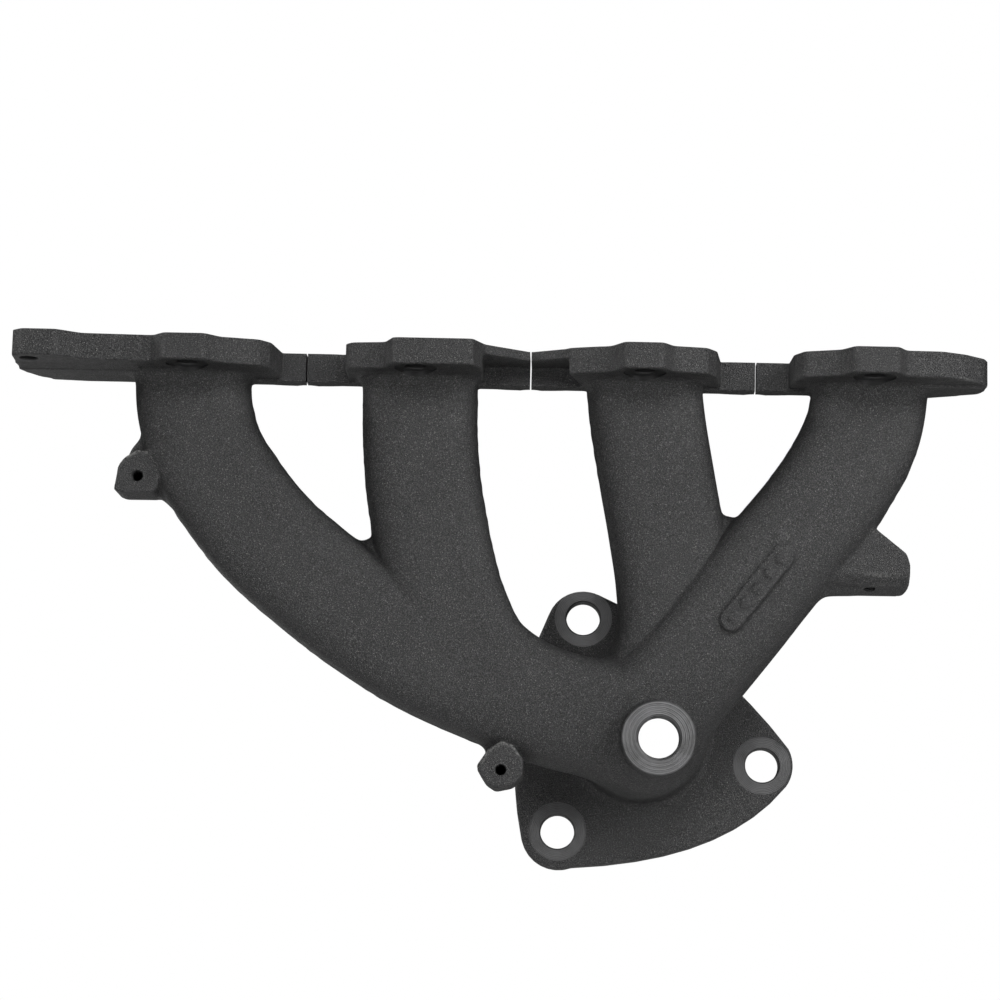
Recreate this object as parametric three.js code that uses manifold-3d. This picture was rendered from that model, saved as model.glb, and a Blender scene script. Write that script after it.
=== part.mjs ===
// Four-port exhaust manifold, one iron casting in named sections. Units are mm.
// +X runs along the cylinder head, +Z is the outward normal of the head mating face (z = 0),
// and -Y is the front, the side the sensor boss looks out of.
// The origin is on the mating face, at the middle saw slit and on the line of port centres.
import * as THREE from "three";
import { mergeVertices } from "three/addons/utils/BufferGeometryUtils.js";
import Module from "manifold-3d";

const wasm = await Module();
wasm.setup();

// ---- driving dimensions ----
const GAP = 0.3; // clearance between neighbouring sections
const PORT_X = [-144, -48, 48, 144];
const SLIT_X = [-96, 0, 96];
const SLIT = 0.6; // width of a saw slit
const LOBE_T = 11; // flange thickness in front of the ports
const BAR_T = 12.4; // flange thickness from the ports back
const LIP_T = 4; // thin lip on either side of the middle slit
const HEAD_BOLT = { y: -28, r: 4.5, spotR: 9 }; // one in front of each port
const SPOT_DEPTH = 0.6; // depth of every machined spotface
const REAR_NOTCH = { y: 12, r: 6.4 }; // part-round bolt notch in the back edge at each slit
const CORNER_HOLE = { x: -209.8, y: -33, r: 3.75 };
const RUNNER = { halfWidth: 24.4, halfDepth: 17.5, wall: 4.5, squareness: 3.4 }; // squareness 2 is an ellipse
const SECTION_POINTS = 28; // round a runner
const PATH_STEPS = 14; // along a runner
const ABOVE_HEAD = 8; // how far a gas passage is cut past the mating face
const COLLECTOR = { x: 50, z: -157, r: 27.6, front: -17.5 };
const OUTLET = { front: 40, face: 52, boreR: 24, holeR: 7.3, spotR: 12.5 };
const OUTLET_HOLES = [
  { x: 24.7, z: -106.2 },
  { x: 103.2, z: -168.5 },
  { x: 15.4, z: -199 },
];
const SENSOR = { x: 56.5, z: -163, r: 15.5, holeR: 8.4, seat: -24, root: -4 };
const LUG = { front: -13, webFront: -2, back: 8 }; // a lug's face, and the thinner web behind it
const LUG_HOLE = { r: 2.5, bottom: 4 }; // heat-shield holes, blind in Y
const LEFT_LUG_HOLE = { x: -165, z: -56.5 };
const LOWER_LUG_HOLE = { x: -8.5, z: -177 };
const BRACKET = { front: -8, back: 8, bottom: -98.8, tilt: 15 }; // its underside is tilted to face forwards
const BRACKET_HOLE = { x: 145, top: -86 }; // drilled up from the bracket's underside
// Raised pad on the front of runner 4, turned to run along it, and the round pips on it.
const MARK = { x: 96.5, z: -99.5, halfLength: 17, r: 4.8, height: 1.1, angle: 0.91 };
const PIPS = { count: 5, pitch: 8, r: 2.1, height: 1.9 };
const ROUND = 28; // segments round a hole
const LATHE_SEGMENTS = 40;
const FAR = 400; // larger than the whole part

// Runner centre lines from the head face down to the collector, as X and Z, and Y where it isn't 0.
const CENTRE_LINES = [
  [[-144, 0], [-144.3, -13], [-142.3, -29], [-135, -48.5], [-114, -76.3], [-94, -94.2], [-68, -113.5],
    [-37, -131.5], [10, -149], [50, -157]],
  [[-48, 0], [-47.2, -14], [-46.4, -38], [-44, -60], [-38.6, -86], [-31.5, -109], [-18, -132.5],
    [10, -149], [50, -157]],
  [[48, 0], [48.8, -14], [51, -31], [54.8, -52, 1.4], [58.7, -72, 3.5], [62.5, -95, 4], [63.2, -118, 4],
    [57, -140, 4], [50, -157, 4]],
  [[144, 0], [144.3, -14], [141.2, -30], [133.8, -46, -0.2], [121.5, -65, -0.7], [103, -88.5, -1],
    [79.5, -119.5, -1], [50, -157, -1]],
];
// Where each runner ends, just above the crotches: a point on its centre line and the line's direction there.
const RUNNER_ENDS = [
  { at: [-106, -83.5], along: [0.74, -0.67] },
  { at: [-44.2, -62], along: [0.13, -0.99] },
  { at: [54.6, -50], along: [0.18, -0.98] },
  { at: [124.5, -58], along: [-0.57, -0.82] },
];

// ---- solids ----
function solid(geometry) {
  geometry.deleteAttribute("normal");
  geometry.deleteAttribute("uv");
  const merged = mergeVertices(geometry, 1e-4);
  return new wasm.Manifold(
    new wasm.Mesh({
      numProp: 3,
      vertProperties: new Float32Array(merged.attributes.position.array),
      triVerts: new Uint32Array(merged.index.array),
    }),
  );
}

const FLAT_EXTRUDE = { bevelEnabled: false, curveSegments: 10 };

function plate(shape, zTop, thickness) {
  const geometry = new THREE.ExtrudeGeometry(shape, { ...FLAT_EXTRUDE, depth: thickness });
  geometry.translate(0, 0, zTop - thickness);
  return solid(geometry);
}

// A shape drawn in X and Z, running from y0 to y1.
function slab(shape, y0, y1) {
  const geometry = new THREE.ExtrudeGeometry(shape, { ...FLAT_EXTRUDE, depth: y1 - y0 });
  geometry.rotateX(Math.PI / 2);
  geometry.translate(0, y1, 0);
  return solid(geometry);
}

function pillar(x, y, r, z0, z1) {
  const geometry = new THREE.CylinderGeometry(r, r, z1 - z0, ROUND);
  geometry.rotateX(Math.PI / 2);
  geometry.translate(x, y, (z0 + z1) / 2);
  return solid(geometry);
}

function peg(x, z, r, y0, y1) {
  const geometry = new THREE.CylinderGeometry(r, r, y1 - y0, ROUND);
  geometry.translate(x, (y0 + y1) / 2, z);
  return solid(geometry);
}

function box(x0, x1, y0, y1, z0, z1) {
  const geometry = new THREE.BoxGeometry(x1 - x0, y1 - y0, z1 - z0);
  geometry.translate((x0 + x1) / 2, (y0 + y1) / 2, (z0 + z1) / 2);
  return solid(geometry);
}

// A rounded-square section, deep along Y and wide across the runner.
function section(halfDepth, halfWidth) {
  const points = [];
  const power = 2 / RUNNER.squareness;
  for (let i = 0; i < SECTION_POINTS; i++) {
    const t = (2 * Math.PI * i) / SECTION_POINTS;
    const c = Math.sign(Math.cos(t)) * Math.abs(Math.cos(t)) ** power;
    const s = Math.sign(Math.sin(t)) * Math.abs(Math.sin(t)) ** power;
    points.push(new THREE.Vector2(halfDepth * c, halfWidth * s));
  }
  return new THREE.Shape(points);
}

// A tube along runner i from `above` the head face, grown by `grow` all round (negative for its passage).
function runnerSweep(i, grow, above = 0) {
  const line = CENTRE_LINES[i].map(([x, z, y = 0]) => new THREE.Vector3(x, y, z));
  if (above > 0) line.unshift(new THREE.Vector3(line[0].x, 0, above));
  const path = new THREE.CatmullRomCurve3(line, false, "centripetal");
  const shape = section(RUNNER.halfDepth + grow, RUNNER.halfWidth + grow);
  return solid(new THREE.ExtrudeGeometry(shape, { extrudePath: path, steps: PATH_STEPS }));
}

// A body of revolution about the outlet's axis: pairs of radius and Y.
function outletLathe(profile) {
  const points = profile.map(([r, y]) => new THREE.Vector2(r, y));
  const geometry = new THREE.LatheGeometry(points, LATHE_SEGMENTS);
  geometry.translate(COLLECTOR.x, 0, COLLECTOR.z);
  return solid(geometry);
}

// Everything on the head side of a runner's end plane, moved by `shift` along the runner.
function headSide(i, shift) {
  const { at, along } = RUNNER_ENDS[i];
  const angle = Math.atan2(along[0], -along[1]);
  const geometry = new THREE.BoxGeometry(FAR, FAR, FAR);
  geometry.translate(0, 0, FAR / 2);
  geometry.rotateY(-angle);
  geometry.translate(at[0] + shift * along[0], 0, at[1] + shift * along[1]);
  return solid(geometry);
}

// ---- the casting's outside and its gas passages ----
const drum = COLLECTOR.r;
const bore = OUTLET.boreR;
const domeProfile = [
  [0, COLLECTOR.front], [drum - 15.6, -17], [drum - 8.9, -14.5], [drum - 3.8, -9.5], [drum - 1, -3],
  [drum, 4], [drum, 30], [drum + 1, 36], [drum + 3, OUTLET.front - GAP], [0, OUTLET.front - GAP],
];
const chamberProfile = [
  [0, -12.5], [bore - 12, -12], [bore - 6.5, -9.5], [bore - 2.5, -5], [bore - 0.3, 0], [bore, 6],
  [bore, OUTLET.face + 5], [0, OUTLET.face + 5],
];
const outsides = CENTRE_LINES.map((_, i) => runnerSweep(i, 0));
const passages = CENTRE_LINES.map((_, i) => runnerSweep(i, -RUNNER.wall, ABOVE_HEAD));
const passage = wasm.Manifold.union([...passages, outletLathe(chamberProfile)]);
const belowFlange = box(-FAR, FAR, -FAR, FAR, -FAR, -BAR_T - GAP);

function runnerNode(i) {
  return outsides[i].intersect(headSide(i, -GAP / 2)).intersect(belowFlange).subtract(passage);
}

const sensorPocket = peg(SENSOR.x, SENSOR.z, SENSOR.r + GAP, -FAR, SENSOR.root + GAP);

// Two runners from their end planes to the collector, where they become one.
function branchNode(first, second) {
  const pair = [first, second].map((i) => outsides[i].subtract(headSide(i, GAP / 2)));
  const collectorBlock = peg(COLLECTOR.x, COLLECTOR.z, COLLECTOR.r + GAP, -FAR, FAR);
  return pair[0].add(pair[1]).subtract(collectorBlock).subtract(passage).subtract(sensorPocket);
}

// A body cut clear of the outsides of the runners it stands on.
function clearOf(body, runners) {
  return runners.reduce((rest, i) => rest.subtract(runnerSweep(i, GAP)), body);
}

function collectorNode() {
  return outletLathe(domeProfile).subtract(passage).subtract(sensorPocket);
}

// ---- head flange ----
function outline(points) {
  return new THREE.Shape(points.map(([x, y]) => new THREE.Vector2(x, y)));
}

const BAR_FRONT = -1; // front face of the bars that join the ports
const BAR_BACK = 7;
const SLIT_BACK = 9; // the bars swell back towards each slit
const PORT_BACK = 20.5; // and further behind each port
const half = SLIT / 2;

// Front edge of each segment from left to right, at the thickness of the lobes.
const LOBES = [
  [[-205, 4], [-212, -5], [-217.5, -18], [-216.5, -37], [-212, -41], [-198, -41], [-188, -34], [-158, -32.5],
    [-153, -38.5], [-136, -38.5], [-130, -32], [-114, -28], [-109.5, -22], [-106.5, BAR_FRONT], [-106.5, 4]],
  [[-78, 4], [-78, -22], [-75, -26], [-61, -28], [-57, -38], [-24, -38], [-20, -29], [-20, 4]],
  [[22, 4], [16, -23], [34, -29], [39.5, -38], [55.5, -38], [60, -31.5], [74, -29], [78.5, -22],
    [81, BAR_FRONT], [81, 4]],
  [[110, 4], [111, -18], [115, -26], [130, -31], [135, -38.5], [153, -38.5], [157, -31.5], [172, -31],
    [182, -26], [191, -18], [193.5, -11], [191, -3], [181, 1], [168, 4]],
];
// The back plate round a port, as thick as the bars, from its left to its right as offsets from the port.
const PORT_PAD = [[-24, BAR_BACK], [-18, 15], [-8, PORT_BACK], [8, PORT_BACK], [18, 15], [24, BAR_BACK]];

function portPad(i) {
  return PORT_PAD.map(([dx, y]) => [PORT_X[i] + dx, y]);
}

// Back plate of each segment, between its slits.
const BACKS = [
  [[-217.5, -17], [-214.5, -9], [-210.5, -1], [-204, 4], [-180, 4.5], ...portPad(0), [-105, BAR_BACK],
    [SLIT_X[0] - half, SLIT_BACK], [SLIT_X[0] - half, BAR_FRONT], [-108, BAR_FRONT], [-120, -17]],
  [[SLIT_X[0] + half, BAR_FRONT], [SLIT_X[0] + half, SLIT_BACK], [-84, BAR_BACK], ...portPad(1),
    [-10, BAR_BACK], [SLIT_X[1] - half, SLIT_BACK], [SLIT_X[1] - half, BAR_FRONT], [-18, BAR_FRONT],
    [-28, -17], [-68, -17], [-76, BAR_FRONT]],
  [[SLIT_X[1] + half, BAR_FRONT], [SLIT_X[1] + half, SLIT_BACK], [10, BAR_BACK], ...portPad(2),
    [88, BAR_BACK], [SLIT_X[2] - half, SLIT_BACK], [SLIT_X[2] - half, BAR_FRONT], [78, BAR_FRONT],
    [68, -17], [28, -17], [18, BAR_FRONT]],
  [[SLIT_X[2] + half, BAR_FRONT], [SLIT_X[2] + half, SLIT_BACK], [106, BAR_BACK], ...portPad(3),
    [168, 4], [181, 1], [190.5, -3.5], [192.5, -11], [190, -16], [124, -17], [112, BAR_FRONT]],
];
// The thin lip on either side of the middle slit.
const LIPS = {
  1: [[-30, -34], [-19, -27], [-half, -13.5], [-half, 3], [-30, 3]],
  2: [[half, -13.5], [20, -24], [30, -27], [30, 3], [half, 3]],
};

function flangeNode(i) {
  let body = plate(outline(LOBES[i]), 0, LOBE_T).add(plate(outline(BACKS[i]), 0, BAR_T));
  if (LIPS[i]) body = body.add(plate(outline(LIPS[i]), 0, LIP_T));
  body = body.subtract(passage);
  body = body.subtract(pillar(PORT_X[i], HEAD_BOLT.y, HEAD_BOLT.r, -FAR, FAR));
  body = body.subtract(pillar(PORT_X[i], HEAD_BOLT.y, HEAD_BOLT.spotR, -FAR, -LOBE_T + SPOT_DEPTH));
  for (const x of SLIT_X) body = body.subtract(pillar(x, REAR_NOTCH.y, REAR_NOTCH.r, -FAR, FAR));
  if (i === 0) body = body.subtract(pillar(CORNER_HOLE.x, CORNER_HOLE.y, CORNER_HOLE.r, -FAR, FAR));
  return body;
}

// ---- outlet flange: three lobes joined by bowed edges ----
function outletFlangeNode() {
  const shape = new THREE.Shape();
  shape.absarc(24.7, -110.3, 16, 2.8, 1.17, true);
  shape.quadraticCurveTo(79, -116, 113.8, -159.7);
  shape.absarc(101, -168.5, 15.5, 0.5, -0.6, true);
  shape.quadraticCurveTo(88, -210, 26, -214.5);
  shape.absarc(15.8, -199, 16.2, -1.2, -2.9, true);
  shape.quadraticCurveTo(-11, -150, 9.6, -104.9);
  let body = slab(shape, OUTLET.front, OUTLET.face);
  body = body.subtract(peg(COLLECTOR.x, COLLECTOR.z, OUTLET.boreR, -FAR, FAR));
  for (const hole of OUTLET_HOLES) {
    body = body.subtract(peg(hole.x, hole.z, OUTLET.holeR, -FAR, FAR));
    body = body.subtract(peg(hole.x, hole.z, OUTLET.spotR, -FAR, OUTLET.front + SPOT_DEPTH));
  }
  return body;
}

// ---- bosses ----
function sensorBossNode() {
  const boss = peg(SENSOR.x, SENSOR.z, SENSOR.r, SENSOR.seat, SENSOR.root);
  return boss.subtract(peg(SENSOR.x, SENSOR.z, SENSOR.holeR, -FAR, FAR)).subtract(passage);
}

const LEFT_FACE = [[-174.8, -62.6], [-173.3, -52], [-170.8, -48.6], [-165.4, -45.2], [-161, -45.8],
  [-158.6, -48.5], [-156.4, -54], [-155.8, -60.7], [-158.4, -63.6], [-171.5, -63.8]];
const LEFT_WEB = [[-165.5, -38], [-169.9, -42.5], [-172.3, -50], [-171, -62.3], [-157, -63], [-151, -66],
  [-135, -60], [-140, -36]];
const LOWER_FACE = [[-18.8, -175.6], [-16.6, -179.4], [-14.6, -182.4], [-10.7, -184.9], [-3.8, -183.4],
  [0.8, -179.4], [0.9, -172.4], [-3.4, -166.4], [-8.4, -164.8], [-13.6, -167.8]];
const LOWER_WEB = [[-14.5, -180], [-15.5, -150], [4, -158], [-2, -179]];
const BRACKET_FACE = [[145, -70], [159.9, -81.9], [161.4, -86.5], [161.2, -96], [159, -98.4], [127.5, -99],
  [124, -92], [129, -84], [142, -74]];
const BRACKET_WEB = [[145, -71], [150, -80], [140, -98], [120, -99], [110, -80], [130, -60]];

// A lug with a blind hole in its front face, cut clear of the runners that it stands on.
function shieldBossNode(face, web, runners, hole) {
  const block = slab(outline(face), LUG.front, LUG.back).add(slab(outline(web), LUG.webFront, LUG.back));
  return clearOf(block, runners).subtract(peg(hole.x, hole.z, LUG_HOLE.r, -FAR, LUG_HOLE.bottom));
}

function bracketNode() {
  const web = slab(outline(BRACKET_WEB), LUG.webFront, BRACKET.back);
  const block = slab(outline(BRACKET_FACE), BRACKET.front, BRACKET.back).add(web);
  const below = box(-FAR, FAR, -FAR, FAR, -FAR, 0).rotate([-BRACKET.tilt, 0, 0]);
  const tilted = block.subtract(below.translate([0, BRACKET.back, BRACKET.bottom]));
  return clearOf(tilted, [3]).subtract(pillar(BRACKET_HOLE.x, 0, LUG_HOLE.r, -FAR, BRACKET_HOLE.top));
}

// ---- casting mark: a blank raised pad with a row of pips, on the front of runner 4 ----
function capsule(halfLength, r) {
  const shape = new THREE.Shape();
  shape.absarc(halfLength, 0, r, -Math.PI / 2, Math.PI / 2, false);
  shape.absarc(-halfLength, 0, r, Math.PI / 2, (3 * Math.PI) / 2, false);
  shape.closePath();
  return shape;
}

// The skin of runner 4, as thick as `height`, under a prism turned to run along the runner.
function raised(prism, height) {
  const degrees = (-MARK.angle * 180) / Math.PI;
  return runnerSweep(3, height).intersect(prism.rotate([0, degrees, 0]).translate([MARK.x, 0, MARK.z]));
}

function castingMarkNode() {
  let body = raised(slab(capsule(MARK.halfLength, MARK.r), -FAR, 0), MARK.height);
  for (let k = 0; k < PIPS.count; k++) {
    const along = (k - (PIPS.count - 1) / 2) * PIPS.pitch;
    body = body.add(raised(peg(along, 0, PIPS.r, -FAR, 0), PIPS.height));
  }
  return clearOf(body, [3]);
}

// ---- assembly ----
const CAST_IRON = { color: 0x464648, metalness: 0.3, roughness: 0.8 };
const MACHINED = { color: 0x6e6e70, metalness: 0.6, roughness: 0.45 };

function mesh(name, body, finish) {
  const { vertProperties, triVerts } = body.getMesh();
  const geometry = new THREE.BufferGeometry();
  geometry.setAttribute("position", new THREE.BufferAttribute(vertProperties, 3));
  geometry.setIndex(new THREE.BufferAttribute(triVerts, 1));
  geometry.computeVertexNormals();
  const node = new THREE.Mesh(geometry, new THREE.MeshStandardMaterial({ ...finish, name }));
  node.name = name;
  return node;
}

const manifold = new THREE.Group();
manifold.name = "exhaust_manifold";
for (const i of [0, 1, 2, 3]) {
  manifold.add(mesh(`head_flange_${i + 1}`, flangeNode(i), CAST_IRON));
  manifold.add(mesh(`runner_${i + 1}`, runnerNode(i), CAST_IRON));
}
manifold.add(mesh("branch_left", branchNode(0, 1), CAST_IRON));
manifold.add(mesh("branch_right", clearOf(branchNode(2, 3), [0, 1]), CAST_IRON));
manifold.add(mesh("collector", collectorNode(), CAST_IRON));
manifold.add(mesh("outlet_flange", outletFlangeNode(), CAST_IRON));
manifold.add(mesh("sensor_boss", sensorBossNode(), MACHINED));
const leftLug = shieldBossNode(LEFT_FACE, LEFT_WEB, [0], LEFT_LUG_HOLE);
const lowerLug = shieldBossNode(LOWER_FACE, LOWER_WEB, [0, 1], LOWER_LUG_HOLE);
manifold.add(mesh("shield_boss_left", leftLug, CAST_IRON));
manifold.add(mesh("shield_boss_lower", lowerLug, CAST_IRON));
manifold.add(mesh("bracket_boss", bracketNode(), CAST_IRON));
manifold.add(mesh("casting_mark", castingMarkNode(), CAST_IRON));

export default manifold;
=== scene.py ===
"""Cast-iron exhaust manifold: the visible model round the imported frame.

The casting is drawn as one distance field, so its runners, collector, flanges and bosses melt into
each other through real fillets. The field is meshed in two blocks, the head flange more finely than
the rest. Each block is machined with cutters and parted at flat seams into one closed piece for each
CAD section.

The field is worked out in millimetres, in the frame's axes, and becomes metres with the mesh. Lamps,
camera and floor are in metres.
"""
import math

import bpy
import numpy as np
from mathutils import Matrix, Vector


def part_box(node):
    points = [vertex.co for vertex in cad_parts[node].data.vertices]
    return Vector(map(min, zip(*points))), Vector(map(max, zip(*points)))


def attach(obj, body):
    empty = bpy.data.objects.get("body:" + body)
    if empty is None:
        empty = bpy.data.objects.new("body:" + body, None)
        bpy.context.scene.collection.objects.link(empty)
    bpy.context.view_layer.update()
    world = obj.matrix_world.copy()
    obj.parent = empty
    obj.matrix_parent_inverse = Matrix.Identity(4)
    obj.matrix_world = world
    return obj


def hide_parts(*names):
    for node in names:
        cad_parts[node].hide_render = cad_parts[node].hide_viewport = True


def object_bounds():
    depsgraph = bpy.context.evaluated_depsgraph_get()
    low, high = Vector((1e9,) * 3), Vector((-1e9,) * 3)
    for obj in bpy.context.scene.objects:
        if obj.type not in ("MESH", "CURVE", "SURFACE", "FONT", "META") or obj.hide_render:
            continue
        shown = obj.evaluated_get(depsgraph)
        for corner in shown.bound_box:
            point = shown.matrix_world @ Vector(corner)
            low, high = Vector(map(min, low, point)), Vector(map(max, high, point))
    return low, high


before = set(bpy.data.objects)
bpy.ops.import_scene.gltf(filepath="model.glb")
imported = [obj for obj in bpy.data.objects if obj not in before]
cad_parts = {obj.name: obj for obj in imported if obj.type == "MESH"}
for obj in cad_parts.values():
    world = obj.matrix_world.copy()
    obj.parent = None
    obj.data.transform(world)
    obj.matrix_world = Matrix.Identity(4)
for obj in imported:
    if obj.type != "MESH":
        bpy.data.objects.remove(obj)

CAD_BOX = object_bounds()
MM = 0.001


def cad_low(node):
    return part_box(node)[0] / MM


def cad_high(node):
    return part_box(node)[1] / MM


def cad_middle(node):
    return (cad_low(node) + cad_high(node)) / 2


# ---- driving sizes, in millimetres ----
FLANGE_PITCH = 0.6     # of the distance field, finer where the edges are crisper
BODY_PITCH = 1.0
MARGIN = 5.0                                 # field kept round the object
STOCK = 2.5                                  # material left on each face that is machined later
BAR_T = -cad_low("head_flange_1").z          # flange thickness from the ports back
LOBE_T = 11.0                                # flange thickness in front of the ports
LIP_T = 4.0                                  # thickness of the lip between lobes 2 and 3
PORTS = (-144.0, -48.0, 48.0, 144.0)
SLITS = (-96.0, 0.0, 96.0)
SLIT = 0.6
HEAD_BOLT_Y = -28.0
HEAD_BOLT_R = 4.5
HEAD_SPOT_R = 9.0
SPOT_DEPTH = 0.6
NOTCH_Y, NOTCH_R = 12.0, 6.4                 # part-round bolt notch at each slit
CORNER_HOLE = (-209.8, -33.0, 3.75)          # x, y and radius
HALF_WIDTH, HALF_DEPTH = 24.4, 17.5          # of a runner
WALL = 4.5
SQUARENESS = 3.4                             # 2 is an ellipse, and more is squarer
OUTLET_X, OUTLET_Z = cad_middle("collector").x, cad_middle("collector").z
OUTLET_FRONT, OUTLET_FACE = cad_low("outlet_flange").y, cad_high("outlet_flange").y
OUTLET_HOLES = ((24.7, -106.2), (103.2, -168.5), (15.4, -199.0))
OUTLET_HOLE_R, OUTLET_SPOT_R = 7.3, 12.5
COLLECTOR_R, BORE_R = 27.6, 24.0
SENSOR_X, SENSOR_Z = cad_middle("sensor_boss").x, cad_middle("sensor_boss").z
SENSOR_FACE = cad_low("sensor_boss").y
SENSOR_R = (cad_high("sensor_boss").x - cad_low("sensor_boss").x) / 2
THREAD_R, THREAD_DEPTH, THREAD_PITCH = 8.4, 0.6, 1.5      # M18x1.5 for the sensor
TAP_R, TAP_DEPTH, TAP_PITCH = 2.1, 0.4, 1.0               # the heat shield's screws
BRACKET_TAP_R = 2.2
CROTCH_FILLET, PASSAGE_FILLET = 11.0, 7.0    # between the runners, outside and inside
LOBE_FILLET = 4.8                            # from a lobe's underside down to its runner
EDGE_BLEND = 1.2                             # from the flange's other edges to the runners

# Each runner's centre line, in X and Z, from above its port to the collector.
CENTRE_LINES = (
    ((-144, 24), (-144, 12), (-144, 0), (-144.3, -13), (-142.3, -29), (-135, -48.5), (-114, -76.3),
     (-94, -94.2), (-68, -113.5), (-37, -131.5), (10, -149), (50, -157), (70, -160)),
    ((-48, 24), (-48, 12), (-48, 0), (-47.2, -14), (-46.4, -38), (-44, -60), (-38.6, -86), (-31.5, -109),
     (-18, -132.5), (10, -149), (50, -157), (70, -160)),
    ((48, 24), (48, 12), (48, 0), (48.8, -14), (51, -31), (54.8, -52), (58.7, -72), (62.5, -95),
     (63.2, -118), (57, -140), (50, -157), (44, -170)),
    ((144, 24), (144, 12), (144, 0), (144.3, -14), (141.2, -30), (133.8, -46), (121.5, -65), (103, -88.5),
     (79.5, -119.5), (50, -157), (38, -172)),
)

# Where each runner section ends, above the crotches: a point on its centre line and the way the line
# runs there, and how far the end seam reaches to either side.
RUNNER_ENDS = (((-106, -83.5), (0.74, -0.67)), ((-44.2, -62), (0.13, -0.99)), ((54.6, -50), (0.18, -0.98)),
               ((124.5, -58), (-0.57, -0.82)))
RUNNER_REACH = ((40, 32), (32, 40), (40, 32), (32, 40))
RUNNER_SPREAD = 45.0                         # half of what a runner section's block spans at the flange
SET_BACK = ((0, -1, 0), (0, -1, 0), (-30, -85, 4.0), (-30, -85, -1.0))    # from z, to z, and by how much

MARK_X, MARK_Z, MARK_ANGLE = 96.5, -99.5, 0.91            # raised pad with a row of pips on runner 4
MARK_HALF, MARK_R, PIP_R, PIP_PITCH = 17.0, 4.8, 2.1, 8.0
PAD_HEIGHT, PIP_HEIGHT = 1.0, 1.9

# The slopes on the collector's front: the way each one faces, a point on it, and how softly it starts.
COLLECTOR_SLOPES = (((0.0, -0.82, -0.57), (30, -18, -162), 14.0),
                    ((0.4, -0.82, -0.4), (66, -18, -150), 14.0))

# ---- distance fields: negative inside ----
def blend(a, b, k):
    """The union of two fields, with a fillet of about 0.6 k where they meet."""
    h = np.maximum(k - np.abs(a - b), 0) / np.maximum(k, 1e-3)
    return np.minimum(a, b) - h * h * k / 4


def rim(a, b, r):
    """What is inside both a and b, with the edge between them rounded to r."""
    u, v = a + r, b + r
    return np.hypot(np.maximum(u, 0), np.maximum(v, 0)) + np.minimum(np.maximum(u, v), 0) - r


def between(c, lo, hi):
    return np.abs(c - (lo + hi) / 2) - (hi - lo) / 2


def smooth_line(points, steps=6):
    """Points on a smooth curve through all but the first and last of the points given."""
    p = np.array(points, float)
    out = []
    for i in range(1, len(p) - 2):
        for t in np.arange(steps) / steps:
            a, b, c, d = p[i - 1:i + 3]
            out.append(b + t * (c - a) / 2 + t * t * (a - 2.5 * b + 2 * c - d / 2)
                       + t ** 3 * (1.5 * b - 1.5 * c + d / 2 - a / 2))
    return np.array(out + [p[-2]])


def rounded(points, cut):
    """A closed outline with its corners softened, each over at most `cut` of both sides."""
    p = np.array(points, float)
    out = []
    for a, b, c in zip(np.roll(p, 1, 0), p, np.roll(p, -1, 0)):
        start = b + (a - b) * min(cut / np.hypot(*(a - b)), 0.45)
        end = b + (c - b) * min(cut / np.hypot(*(c - b)), 0.45)
        for t in (0, 0.25, 0.5, 0.75, 1):
            out.append((1 - t) ** 2 * start + 2 * t * (1 - t) * b + t * t * end)
    return np.array(out)


def line_distance(points, u, v):
    best = np.full(np.broadcast(u, v).shape, np.inf)
    for a, b in zip(points[:-1], points[1:]):
        d = b - a
        t = np.clip(((u - a[0]) * d[0] + (v - a[1]) * d[1]) / max(d @ d, 1e-9), 0, 1)
        best = np.minimum(best, np.hypot(u - a[0] - t * d[0], v - a[1] - t * d[1]))
    return best


def outline_distance(points, u, v):
    closed = np.vstack([points, points[:1]])
    inside = np.zeros(np.broadcast(u, v).shape, bool)
    for a, b in zip(closed[:-1], closed[1:]):
        if a[1] != b[1]:
            crosses = (v > min(a[1], b[1])) & (v <= max(a[1], b[1]))
            inside ^= crosses & (u < a[0] + (v - a[1]) / (b[1] - a[1]) * (b[0] - a[0]))
    d = line_distance(closed, u, v)
    return np.where(inside, -d, d)


class Grid:
    """The points that a field is worked out on, and their distances in XZ from the centre lines."""

    def __init__(self, low, high, pitch):
        self.low, self.high, self.pitch = np.array(low, float), np.array(high, float), pitch
        self.gx, self.gy, self.gz = (np.arange(a, b, pitch) for a, b in zip(low, high))
        self.X = self.gx.astype(np.float32)[:, None, None]
        self.Y = self.gy.astype(np.float32)[None, :, None]
        self.Z = self.gz.astype(np.float32)[None, None, :]
        self.lines = [self.flat(line_distance(smooth_line(line), *self.face())) for line in CENTRE_LINES]

    def face(self):
        return self.gx[:, None], self.gz[None, :]

    def flat(self, distance):
        return distance.astype(np.float32)[:, None, :]

    def plan(self, points, cut):
        """An outline's distance in the XY plane."""
        outline = rounded(points, cut) if cut else np.array(points)
        return outline_distance(outline, self.gx[:, None], self.gy[None, :]).astype(np.float32)[:, :, None]

    def elevation(self, points, cut):
        """An outline's distance in the XZ plane."""
        outline = rounded(points, cut) if cut else np.array(points)
        return self.flat(outline_distance(outline, *self.face()))

    def cells(self, points):
        return (points - self.low) / self.pitch


def tube(g, i, grow):
    """Runner i, grown by `grow`: a tube of superellipse section about its centre line."""
    n = SQUARENESS
    half_width, half_depth = HALF_WIDTH + grow, HALF_DEPTH + grow
    across, deep = g.lines[i] / half_width, np.abs(g.Y - set_back(g, i)) / half_depth
    total = np.maximum(across ** n + deep ** n, 1e-6)
    slope = np.sqrt((across ** (n - 1) / half_width) ** 2 + (deep ** (n - 1) / half_depth) ** 2)
    size = total ** (1 / n)
    return (size - 1) * size ** (n - 1) / np.maximum(slope, 1e-3)


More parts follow.
